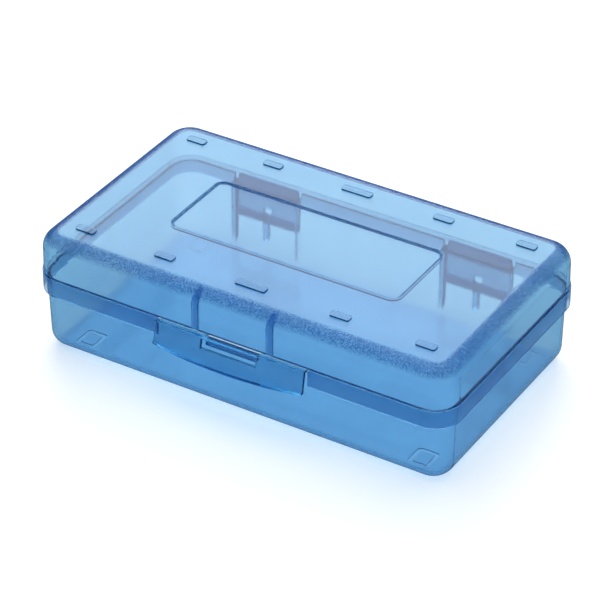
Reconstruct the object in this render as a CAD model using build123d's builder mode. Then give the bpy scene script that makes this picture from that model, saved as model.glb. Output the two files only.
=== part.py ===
"""Art supply box: a shallow moulded tray with a deep snap-on lid, hinged at the back.

Frame: X along the length, -Y towards the latch, +Z up, origin at the centre of the
underside, on the surface that the box stands on. Millimetres.
"""
from build123d import *
from math import atan, cos, degrees, radians, sin
import os

# Driving dimensions
LENGTH = 214.0              # over the lid's rim band
DEPTH = 124.2               # over the rim band, without the latch's thumb lip
HEIGHT = 60.8               # to the tops of the stacking bars
WALL = 1.5
BAND_BOTTOM = 30.8
BAND_TOP = 40.2
BAND_CORNER = 13.0          # plan radius
DRAFT = 0.023               # a moulded wall leans in by this much per mm of height

# Lid
LEDGE = 0.5                 # the lid's wall stands this far inside its rim band
BAR_HEIGHT = 0.8
LID_TOP = HEIGHT - BAR_HEIGHT
LID_ROUND = 8.0             # between the lid's walls and its top
STEP_UNDERSIDE = 38.8       # the step inside the lid that comes down on the tray's rim
SKIRT_SPREAD = 0.8          # the skirt opens out by this much at its lower edge
FIT_GAP = 0.35              # between the tray's rim and the skirt
BAR_WIDTH = 4.2
BAR_LENGTH = 9.6
LONG_BAR_LENGTH = 15.3
BAR_COLUMNS = (-87.3, -45.1, 45.1, 87.3)
BAR_ROW = 45.4
BAR_CORNER = 0.9
LABEL_SIZE = (119.2, 44.7)
LABEL_CORNER = 5.0
LABEL_SINK = 0.8
LABEL_SLOPE = 1.5           # plan width of the label panel's sloping edge
RIB_X = 19.1
RIB_WIDTH = 3.2
RIB_REACH = 48.0            # how far the ribs climb the lid's rounding, in degrees

# Tray
TRAY_INSET = 2.0            # the rim's outer face, inside the rim band
RIM_TOP = 38.6
TRAY_ROUND = 8.0            # along the lower edge
MARK_SPACING = (174.4, 89.6)
MARK_SIZE = (10.8, 12.2)
MARK_WIDTH = 2.2            # of the ring-shaped groove
MARK_DEPTH = 0.5

# Hinges
HINGE_X = 56.7
HINGE_Y = 59.2
HINGE_Z = 19.2
PIN_RADIUS = 1.25
KNUCKLE_RADIUS = 2.4
BORE_CLEARANCE = 0.06
RECESS_WIDTH = 33.5
RECESS_FRONT = 56.5
GUARD_TOP = 35.7
NOTCH_WIDTH = 37.0
CENTRE_RIB_WIDTH = 2.4
CENTRE_RIB_BOTTOM = 8.2
LEAF_WIDTH = 32.5
LEAF_FRONT = 59.0
LEAF_BACK = 60.7
LEAF_GAP = 4.4              # the leaf straddles the recess's centre rib
LEAF_GAP_TOP = 24.7

# Latch flap
FLAP_WIDTH = 76.6
FLAP_GAP = 0.3
FLAP_TOP = 40.0
FLAP_BOTTOM = 30.4
FLAP_TOP_Y = -64.8
FLAP_BOTTOM_Y = -66.4
SHELF_THICKNESS = 1.2       # the flap bends where this joins the lid
SLOT_WIDTH = 28.5
SLOT_BOTTOM = 34.0
LIP_THICKNESS = 1.4
LIP_END = 0.8               # reach beyond the flap's face at the ends of the lip
LIP_MIDDLE = 5.0            # and in the middle
CATCH_WIDTH = 26.0
CATCH_BOTTOM = 34.8
CATCH_TOP = 37.2
CATCH_Y = -62.9

half_depth = DEPTH / 2
draft_angle = degrees(atan(DRAFT))
hinge_columns = {"left": -HINGE_X, "right": HINGE_X}


def outline(inset):
    """Rounded rectangle that runs inside the rim band's outline by inset."""
    RectangleRounded(LENGTH - 2 * inset, DEPTH - 2 * inset, BAND_CORNER - inset)


def finish(builder, label):
    """Name a finished piece and write it."""
    builder.part.label = label
    export_step(builder.part, f"parts/{label}.step")


os.makedirs("parts", exist_ok=True)

# Tray: a drafted, rounded shell. Two guards stand inside its back wall, and the
# recesses behind them take the lid's hinge leaves.

with BuildPart() as tray_hollow:
    with BuildSketch(Plane.XY.offset(RIM_TOP)):
        outline(TRAY_INSET + WALL)
    extrude(amount=WALL - RIM_TOP, taper=draft_angle)
    fillet(tray_hollow.edges().group_by(Axis.Z)[0], TRAY_ROUND - WALL)
    with BuildSketch(Plane.XY):
        with Locations(*[(x, RECESS_FRONT - WALL) for x in hinge_columns.values()]):
            Rectangle(RECESS_WIDTH + 2 * WALL, WALL * 4, align=(Align.CENTER, Align.MIN))
    extrude(amount=GUARD_TOP, mode=Mode.SUBTRACT)

with BuildPart() as base_tray:
    with BuildSketch(Plane.XY.offset(RIM_TOP)):
        outline(TRAY_INSET)
    extrude(amount=-RIM_TOP, taper=draft_angle)
    fillet(base_tray.edges().group_by(Axis.Z)[0], TRAY_ROUND)
    add(tray_hollow.part, mode=Mode.SUBTRACT)

    with BuildSketch(Plane.XY):
        with Locations(*[(x, RECESS_FRONT) for x in hinge_columns.values()]):
            Rectangle(RECESS_WIDTH, half_depth, align=(Align.CENTER, Align.MIN))
    extrude(amount=RIM_TOP, mode=Mode.SUBTRACT)
    with BuildSketch(Plane.XY.offset(GUARD_TOP)):
        with Locations(*[(x, RECESS_FRONT) for x in hinge_columns.values()]):
            Rectangle(NOTCH_WIDTH, half_depth, align=(Align.CENTER, Align.MIN))
    extrude(amount=RIM_TOP - GUARD_TOP, mode=Mode.SUBTRACT)

    for x in hinge_columns.values():
        with BuildSketch(Plane.YZ.offset(x - CENTRE_RIB_WIDTH / 2)):
            with Locations((RECESS_FRONT, CENTRE_RIB_BOTTOM)):
                Rectangle(HINGE_Y - RECESS_FRONT, HINGE_Z - CENTRE_RIB_BOTTOM + KNUCKLE_RADIUS,
                          align=(Align.MIN, Align.MIN))
            with Locations((HINGE_Y, HINGE_Z)):
                Circle(KNUCKLE_RADIUS)
                Circle(PIN_RADIUS, mode=Mode.SUBTRACT)
        extrude(amount=CENTRE_RIB_WIDTH)

    with BuildSketch(Plane.XY):
        with GridLocations(*MARK_SPACING, 2, 2):
            RectangleRounded(*MARK_SIZE, MARK_WIDTH)
            Rectangle(*[size - 2 * MARK_WIDTH for size in MARK_SIZE], mode=Mode.SUBTRACT)
    extrude(amount=MARK_DEPTH, mode=Mode.SUBTRACT)

finish(base_tray, "base_tray")

# Catch: the ledge on the tray's front wall behind the latch flap's slot.


def front_wall(z):
    """Y of the tray's drafted front face at height z."""
    return -half_depth + TRAY_INSET + DRAFT * (RIM_TOP - z)


with BuildPart() as catch_ledge:
    with BuildSketch(Plane.YZ.offset(-CATCH_WIDTH / 2)):
        with BuildLine():
            Polyline((front_wall(CATCH_BOTTOM), CATCH_BOTTOM), (CATCH_Y, CATCH_BOTTOM),
                     (CATCH_Y, (CATCH_BOTTOM + CATCH_TOP) / 2),
                     (front_wall(CATCH_TOP), CATCH_TOP), close=True)
        make_face()
    extrude(amount=CATCH_WIDTH)

finish(catch_ledge, "catch_ledge")

# Lid: a deep shell with a rim band round its foot, whose skirt laps over the tray.

with BuildPart() as lid_hollow:
    with BuildSketch(Plane.XY.offset(STEP_UNDERSIDE)):
        outline(LEDGE + WALL)
    extrude(amount=LID_TOP - WALL - STEP_UNDERSIDE, taper=draft_angle)
    fillet(lid_hollow.edges().group_by(Axis.Z)[-1], LID_ROUND - WALL)
    with BuildSketch(Plane.XY.offset(LID_TOP - WALL)):
        RectangleRounded(*LABEL_SIZE, LABEL_CORNER)
    extrude(amount=-LABEL_SINK, mode=Mode.SUBTRACT)
    with BuildSketch(Plane.XY.offset(STEP_UNDERSIDE)):
        outline(TRAY_INSET - FIT_GAP)
    skirt_height = STEP_UNDERSIDE - BAND_BOTTOM
    extrude(amount=-skirt_height, taper=-degrees(atan(SKIRT_SPREAD / skirt_height)))

with BuildPart() as lid_shell:
    with BuildSketch(Plane.XY.offset(BAND_TOP)):
        outline(LEDGE)
    extrude(amount=LID_TOP - BAND_TOP, taper=draft_angle)
    fillet(lid_shell.edges().group_by(Axis.Z)[-1], LID_ROUND)
    with BuildSketch(Plane.XY.offset(BAND_BOTTOM)):
        outline(0)
    extrude(amount=BAND_TOP - BAND_BOTTOM)
    add(lid_hollow.part, mode=Mode.SUBTRACT)

    with BuildSketch(Plane.XY.offset(LID_TOP)):
        RectangleRounded(*LABEL_SIZE, LABEL_CORNER)
    with BuildSketch(Plane.XY.offset(LID_TOP - LABEL_SINK)):
        RectangleRounded(*[size - 2 * LABEL_SLOPE for size in LABEL_SIZE], LABEL_CORNER - LABEL_SLOPE)
    loft(mode=Mode.SUBTRACT)

    with BuildSketch(Plane.XY.offset(LID_TOP)):
        with Locations(*[(x, y) for x in BAR_COLUMNS for y in (-BAR_ROW, BAR_ROW)]):
            RectangleRounded(BAR_LENGTH, BAR_WIDTH, BAR_CORNER)
        with Locations((0, -BAR_ROW), (0, BAR_ROW)):
            RectangleRounded(LONG_BAR_LENGTH, BAR_WIDTH, BAR_CORNER)
    extrude(amount=BAR_HEIGHT)

    round_z = LID_TOP - LID_ROUND
    wall_y = -half_depth + LEDGE + DRAFT * (round_z - BAND_TOP)
    round_y = wall_y + LID_ROUND
    reach = radians(RIB_REACH)
    rib_round = round_y + half_depth
    for x in (-RIB_X, RIB_X):
        with BuildSketch(Plane.YZ.offset(x - RIB_WIDTH / 2)):
            with BuildLine():
                Polyline((-half_depth, round_z), (-half_depth, BAND_TOP),
                         (wall_y + WALL / 2, BAND_TOP), (wall_y + WALL / 2, round_z),
                         (round_y - LID_ROUND * cos(reach), round_z + LID_ROUND * sin(reach)))
                ThreePointArc((round_y - LID_ROUND * cos(reach), round_z + LID_ROUND * sin(reach)),
                              (round_y - rib_round * cos(reach / 2), round_z + rib_round * sin(reach / 2)),
                              (-half_depth, round_z))
            make_face()
        extrude(amount=RIB_WIDTH)

    opening_width = FLAP_WIDTH + 2 * FLAP_GAP
    with BuildSketch(Plane.XY.offset(BAND_BOTTOM)):
        with Locations((0, -half_depth + LEDGE)):
            Rectangle(opening_width, 2 * LEDGE, align=(Align.CENTER, Align.MAX))
    extrude(amount=BAND_TOP - BAND_BOTTOM, mode=Mode.SUBTRACT)
    with BuildSketch(Plane.XY.offset(BAND_BOTTOM)):
        with Locations((0, -half_depth + TRAY_INSET)):
            Rectangle(opening_width, 2 * TRAY_INSET, align=(Align.CENTER, Align.MAX))
    extrude(amount=STEP_UNDERSIDE - BAND_BOTTOM, mode=Mode.SUBTRACT)

finish(lid_shell, "lid_shell")

# Hinges: a pin across each of the tray's recesses, and a leaf that hangs from the
# lid's step, follows the inside of the skirt and turns on the pin.

skirt_top_y = half_depth - TRAY_INSET + FIT_GAP
for side, hinge_x in hinge_columns.items():
    with BuildPart() as hinge_pin:
        with BuildSketch(Plane.YZ.offset(hinge_x - RECESS_WIDTH / 2)):
            with Locations((HINGE_Y, HINGE_Z)):
                Circle(PIN_RADIUS)
        extrude(amount=RECESS_WIDTH)
    finish(hinge_pin, f"hinge_pin_{side}")

    with BuildPart() as hinge_leaf:
        with BuildSketch(Plane.YZ.offset(hinge_x - LEAF_WIDTH / 2)):
            with BuildLine():
                Polyline((LEAF_FRONT, HINGE_Z), (LEAF_FRONT, STEP_UNDERSIDE),
                         (skirt_top_y, STEP_UNDERSIDE),
                         (skirt_top_y + SKIRT_SPREAD, BAND_BOTTOM),
                         (LEAF_BACK, BAND_BOTTOM - SKIRT_SPREAD), (LEAF_BACK, HINGE_Z), close=True)
            make_face()
            with Locations((HINGE_Y, HINGE_Z)):
                Circle(KNUCKLE_RADIUS)
                Circle(PIN_RADIUS + BORE_CLEARANCE, mode=Mode.SUBTRACT)
        extrude(amount=LEAF_WIDTH)
        with BuildSketch(Plane.XY):
            with Locations((hinge_x, HINGE_Y)):
                Rectangle(LEAF_GAP, LEAF_WIDTH)
        extrude(amount=LEAF_GAP_TOP, mode=Mode.SUBTRACT)
    finish(hinge_leaf, f"hinge_leaf_{side}")

# Latch flap: a shelf that stands out from the lid's band, a panel that hangs from it and
# leans out towards its foot, and a crescent lip for the thumb.

shelf_underside = FLAP_TOP - SHELF_THICKNESS
flap_back = -half_depth + LEDGE - FLAP_GAP
with BuildPart() as latch_flap:
    with BuildSketch(Plane.YZ.offset(-FLAP_WIDTH / 2)):
        with BuildLine():
            Polyline((FLAP_TOP_Y, FLAP_TOP), (flap_back, FLAP_TOP), (flap_back, shelf_underside),
                     (FLAP_TOP_Y + WALL, shelf_underside), (FLAP_BOTTOM_Y + WALL, FLAP_BOTTOM),
                     (FLAP_BOTTOM_Y, FLAP_BOTTOM), close=True)
        make_face()
    extrude(amount=FLAP_WIDTH)
    with BuildSketch(Plane.XY.offset(FLAP_BOTTOM)):
        with BuildLine():
            lip_end_y = FLAP_BOTTOM_Y - LIP_END
            Polyline((FLAP_WIDTH / 2, lip_end_y), (FLAP_WIDTH / 2, FLAP_BOTTOM_Y + WALL),
                     (-FLAP_WIDTH / 2, FLAP_BOTTOM_Y + WALL), (-FLAP_WIDTH / 2, lip_end_y))
            ThreePointArc((-FLAP_WIDTH / 2, lip_end_y), (0, FLAP_BOTTOM_Y - LIP_MIDDLE),
                          (FLAP_WIDTH / 2, lip_end_y))
        make_face()
    extrude(amount=-LIP_THICKNESS)
    with BuildSketch(Plane.XZ):
        with Locations((0, SLOT_BOTTOM)):
            Rectangle(SLOT_WIDTH, shelf_underside - SLOT_BOTTOM, align=(Align.CENTER, Align.MIN))
    extrude(amount=DEPTH, mode=Mode.SUBTRACT)

finish(latch_flap, "latch_flap")
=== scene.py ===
"""Looks for the art supply box: translucent blue plastic on a white studio floor."""
from math import log

import bpy
from mathutils import Matrix, Vector


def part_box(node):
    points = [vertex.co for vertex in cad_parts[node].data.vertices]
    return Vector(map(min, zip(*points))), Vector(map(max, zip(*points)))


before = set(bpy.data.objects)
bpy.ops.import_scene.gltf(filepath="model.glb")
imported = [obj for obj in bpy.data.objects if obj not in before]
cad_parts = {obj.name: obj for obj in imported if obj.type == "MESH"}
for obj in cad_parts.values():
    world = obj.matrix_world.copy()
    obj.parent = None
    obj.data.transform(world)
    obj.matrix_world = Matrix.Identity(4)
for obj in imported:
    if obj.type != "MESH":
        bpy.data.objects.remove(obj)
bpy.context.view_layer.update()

# Camera, in metres: a long lens, seen from the front right and above.
CAMERA_PLACE = Vector((0.57635, -0.94817, 0.77334))
CAMERA_RIGHT = Vector((0.85369, 0.52078, -0.00113))
CAMERA_UP = Vector((-0.28991, 0.47703, 0.82969))
CAMERA_LENS = 177.57
SENSOR_WIDTH = 36.0

# Plastic. The IOR is below the real 1.5, which would turn thin edges black.
WALL = 0.0015
WALL_TINT = (0.53, 0.74, 0.85)              # what one wall lets through, square on
ABSORPTION_DENSITY = 1000.0                 # high enough that no absorption colour is below 0
IOR = 1.36
SPECULAR_LEVEL = 0.5
SHADOW_TINT = (0.95, 0.98, 0.99, 1)         # what one surface lets through to a shadow
HAZE_COLOUR = (0.0, 0.16, 0.70, 1.0)
HAZE = 0.05
HAZE_VARIATION = 0.05
ROUGHNESS = 0.03
ROUGHNESS_VARIATION = 0.04
CLOUD_SCALE = 60.0
FLECK_SCALE = 900.0
FLECK_HEIGHT = 0.15
BUMP_STRENGTH = 0.35
BUMP_DISTANCE = 0.0002
DEEPER_HAZE = 0.16                          # more haze in the leaves, pins and catch

# Grain on the lid's upper edge rounding, whose deep blue haze is also a painted shade that darkens
# that rounding
BAR_HEIGHT = 0.0008
LID_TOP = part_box("lid_shell")[1].z - BAR_HEIGHT
GRAIN_AND_SHADE_FROM = LID_TOP - 0.0085
GRAIN_AND_SHADE_FULL = LID_TOP - 0.0040
GRAIN_SCALE = 1500.0
# haze on the grains: real grain, and a painted shade that darkens the rounding
GRAIN_AND_SHADE_HAZE = 0.38
GRAIN_HEIGHT = 0.9
GRAIN_ROUGHNESS = 0.10

# Thick places on the lid: the two front ribs, and the rim band
RIB_X = 0.0191
RIB_HALF = 0.0016
RIB_BASE = 0.0402
RIB_Y = -0.0565
RIB_HAZE = 0.26
BAND_TOP = 0.0402
BAND_HAZE = 0.12

# Studio
FLOOR_HALF = 4.0
FLOOR_DROP = 0.0002
FLOOR_WHITE = 0.90
FLOOR_ROUGHNESS = 0.7
FLOOR_GLOW = 0.40                           # a little light of its own weakens the blue shadow
WORLD_STRENGTH = 0.22
TRANSPARENT_BOUNCES = 32                    # shadow rays cross many walls


class Tree:
    """A short way to add nodes to a material's tree."""

    def __init__(self, name):
        self.material = bpy.data.materials.new(name)
        self.material.use_nodes = True
        self.nodes = self.material.node_tree.nodes
        self.links = self.material.node_tree.links
        self.nodes.clear()

    def add(self, kind, inputs=None, **settings):
        """A node, with its settings, and its inputs given as values or as other nodes' outputs."""
        node = self.nodes.new(kind)
        for name, value in settings.items():
            setattr(node, name, value)
        for name, value in (inputs or {}).items():
            if isinstance(value, bpy.types.NodeSocket):
                self.links.new(value, node.inputs[name])
            else:
                node.inputs[name].default_value = value
        return node.outputs[0]

    def output(self, kind, name):
        """The output called name of a new node that needs no inputs."""
        return self.nodes.new(kind).outputs[name]

    def math(self, operation, *values):
        return self.add("ShaderNodeMath", dict(enumerate(values)), operation=operation)

    def plus(self, value, amount, mask):
        """value, with amount more of it where mask is 1."""
        return self.math("ADD", value, self.math("MULTIPLY", mask, amount))

    def split(self, vector):
        """The X, Y and Z of a vector."""
        node = self.nodes.new("ShaderNodeSeparateXYZ")
        self.links.new(vector, node.inputs[0])
        return node.outputs["X"], node.outputs["Y"], node.outputs["Z"]

    def ramp(self, value, low, high, out_low=0.0, out_high=1.0):
        """value brought smoothly from low..high to out_low..out_high."""
        node = self.nodes.new("ShaderNodeMapRange")
        node.interpolation_type = "SMOOTHSTEP"
        self.links.new(value, node.inputs[0])
        for i, number in enumerate((low, high, out_low, out_high), 1):
            node.inputs[i].default_value = number
        return node.outputs[0]

    def finish(self, surface, volume=None):
        out = self.nodes.new("ShaderNodeOutputMaterial")
        self.links.new(surface, out.inputs["Surface"])
        if volume is not None:
            self.links.new(volume, out.inputs["Volume"])
        return self.material


def grain_and_shade_zone(t, z):
    """1 on the lid's upper edge rounding, which gets grain and a painted shade. The normal is the
    lid's own, so it turns with the lid.
    """
    up = t.math("ABSOLUTE", t.split(t.output("ShaderNodeTexCoord", "Normal"))[2])
    tilt = t.math("MULTIPLY", t.ramp(up, 0.25, 0.75), t.ramp(up, 0.985, 0.999, 1.0, 0.0))
    return t.math("MULTIPLY", tilt, t.ramp(z, GRAIN_AND_SHADE_FROM, GRAIN_AND_SHADE_FULL))


def rib_zone(t, x, y, z):
    """1 on the two ribs of the lid's front wall."""
    aside = t.math("ABSOLUTE", t.math("SUBTRACT", t.math("ABSOLUTE", x), RIB_X))
    rib = t.ramp(aside, RIB_HALF - 0.0003, RIB_HALF + 0.0002, 1.0, 0.0)
    rib = t.math("MULTIPLY", rib, t.ramp(z, RIB_BASE - 0.0003, RIB_BASE + 0.0003))
    return t.math("MULTIPLY", rib, t.ramp(y, RIB_Y, RIB_Y + 0.001, 1.0, 0.0))


def plastic(name, lid=False, deeper=0.0):
    """Translucent blue plastic: tinted through its depth, slightly hazy, glossy outside."""
    t = Tree(name)
    place = t.output("ShaderNodeTexCoord", "Object")
    clouds = t.add("ShaderNodeTexNoise", {"Vector": place, "Scale": CLOUD_SCALE, "Detail": 3.0})
    flecks = t.add("ShaderNodeTexNoise", {"Vector": place, "Scale": FLECK_SCALE, "Detail": 2.0})
    haze = t.math("ADD", t.math("MULTIPLY", clouds, HAZE_VARIATION), HAZE + deeper)
    height = t.math("MULTIPLY", flecks, FLECK_HEIGHT)
    rough = t.math("ADD", t.math("MULTIPLY", clouds, ROUGHNESS_VARIATION), ROUGHNESS)
    if lid:
        x, y, z = t.split(place)
        zone = grain_and_shade_zone(t, z)
        pebbles = t.add("ShaderNodeTexVoronoi", {"Vector": place, "Scale": GRAIN_SCALE})
        # grains on the rounding; their haze is grain and also a painted shade darkening it
        grains_and_shade = t.math("MULTIPLY", zone, t.ramp(pebbles, 0.30, 0.65))
        haze = t.plus(haze, GRAIN_AND_SHADE_HAZE, grains_and_shade)
        height = t.plus(height, GRAIN_HEIGHT, grains_and_shade)
        rough = t.plus(rough, GRAIN_ROUGHNESS, zone)
        haze = t.plus(haze, RIB_HAZE, rib_zone(t, x, y, z))
        haze = t.plus(haze, BAND_HAZE, t.ramp(z, BAND_TOP - 0.0006, BAND_TOP + 0.0002, 1.0, 0.0))
    bump = t.add("ShaderNodeBump", {"Height": height, "Strength": BUMP_STRENGTH,
                                    "Distance": BUMP_DISTANCE})
    clear = t.add("ShaderNodeBsdfPrincipled", {
        "Base Color": (1, 1, 1, 1), "Roughness": rough, "IOR": IOR, "Transmission Weight": 1.0,
        "Specular IOR Level": SPECULAR_LEVEL, "Normal": bump})
    through = t.add("ShaderNodeBsdfTransparent", {"Color": SHADOW_TINT})
    shadow_ray = t.output("ShaderNodeLightPath", "Is Shadow Ray")
    glass = t.add("ShaderNodeMixShader", {0: shadow_ray, 1: clear, 2: through})
    front = t.add("ShaderNodeBsdfDiffuse", {"Color": HAZE_COLOUR, "Normal": bump})
    back = t.add("ShaderNodeBsdfTranslucent", {"Color": HAZE_COLOUR, "Normal": bump})
    milk = t.add("ShaderNodeMixShader", {0: 0.5, 1: front, 2: back})
    surface = t.add("ShaderNodeMixShader", {0: haze, 1: glass, 2: milk})
    colour = [1 + log(tint) / WALL / ABSORPTION_DENSITY for tint in WALL_TINT]
    volume = t.add("ShaderNodeVolumeAbsorption", {"Color": (*colour, 1),
                                                  "Density": ABSORPTION_DENSITY})
    return t.finish(surface, volume)


plain = plastic("blue_plastic_smooth")
grained_painted_shade = plastic("blue_plastic_grained_painted_shade", lid=True)
deep = plastic("blue_plastic_deep", deeper=DEEPER_HAZE)
for name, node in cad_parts.items():
    if name == "lid_shell":
        material = grained_painted_shade
    elif name.startswith("hinge") or name == "catch_ledge":
        material = deep
    else:
        material = plain
    node.data.materials.clear()
    node.data.materials.append(material)

# Floor and world
corners = [(x * FLOOR_HALF, y * FLOOR_HALF, 0) for x, y in ((-1, -1), (1, -1), (1, 1), (-1, 1))]
floor_mesh = bpy.data.meshes.new("floor")
floor_mesh.from_pydata(corners, [], [(0, 1, 2, 3)])
floor = bpy.data.objects.new("floor", floor_mesh)
floor.location.z = -FLOOR_DROP
bpy.context.scene.collection.objects.link(floor)
paint = Tree("floor_paint")
floor_mesh.materials.append(paint.finish(paint.add("ShaderNodeBsdfPrincipled", {
    "Base Color": (FLOOR_WHITE, FLOOR_WHITE, FLOOR_WHITE, 1), "Roughness": FLOOR_ROUGHNESS,
    "Emission Color": (1, 1, 1, 1), "Emission Strength": FLOOR_GLOW})))
floor.visible_glossy = False     # no mirror image of the white floor in the side walls

world = bpy.data.worlds.new("studio")
world.use_nodes = True
bpy.context.scene.world = world
sky = world.node_tree.nodes["Background"]
sky.inputs["Color"].default_value = (1.0, 1.0, 1.0, 1)
sky.inputs["Strength"].default_value = WORLD_STRENGTH


def softbox(name, place, target, size, power):
    """A rectangular area light at place that faces target."""
    light = bpy.data.lights.new(name, "AREA")
    light.shape = "RECTANGLE"
    light.size, light.size_y = size
    light.energy = power
    lamp = bpy.data.objects.new(name, light)
    bpy.context.scene.collection.objects.link(lamp)
    lamp.location = place
    lamp.rotation_mode = "QUATERNION"
    lamp.rotation_quaternion = (Vector(target) - Vector(place)).to_track_quat("-Z", "Y")


softbox("overhead", (-0.1, 0.25, 1.6), (0, 0, 0), (1.6, 1.6), 15.5)
softbox("rear", (-0.43, 0.71, 0.60), (0, 0, 0.06), (0.8, 0.6), 4.6)
softbox("right_strip", (1.3, -0.35, 0.6), (0, 0, 0.03), (0.25, 1.0), 1.2)

camera_data = bpy.data.cameras.new("camera")
camera_data.lens = CAMERA_LENS
camera_data.sensor_width = SENSOR_WIDTH
camera = bpy.data.objects.new("camera", camera_data)
bpy.context.scene.collection.objects.link(camera)
back_axis = CAMERA_RIGHT.cross(CAMERA_UP).normalized()
up_axis = back_axis.cross(CAMERA_RIGHT).normalized()
camera.matrix_world = Matrix.Translation(CAMERA_PLACE) @ Matrix(
    (CAMERA_RIGHT.normalized(), up_axis, back_axis)).transposed().to_4x4()
bpy.context.scene.camera = camera
bpy.context.scene.view_settings.view_transform = "Standard"
bpy.context.scene.cycles.transparent_max_bounces = TRANSPARENT_BOUNCES
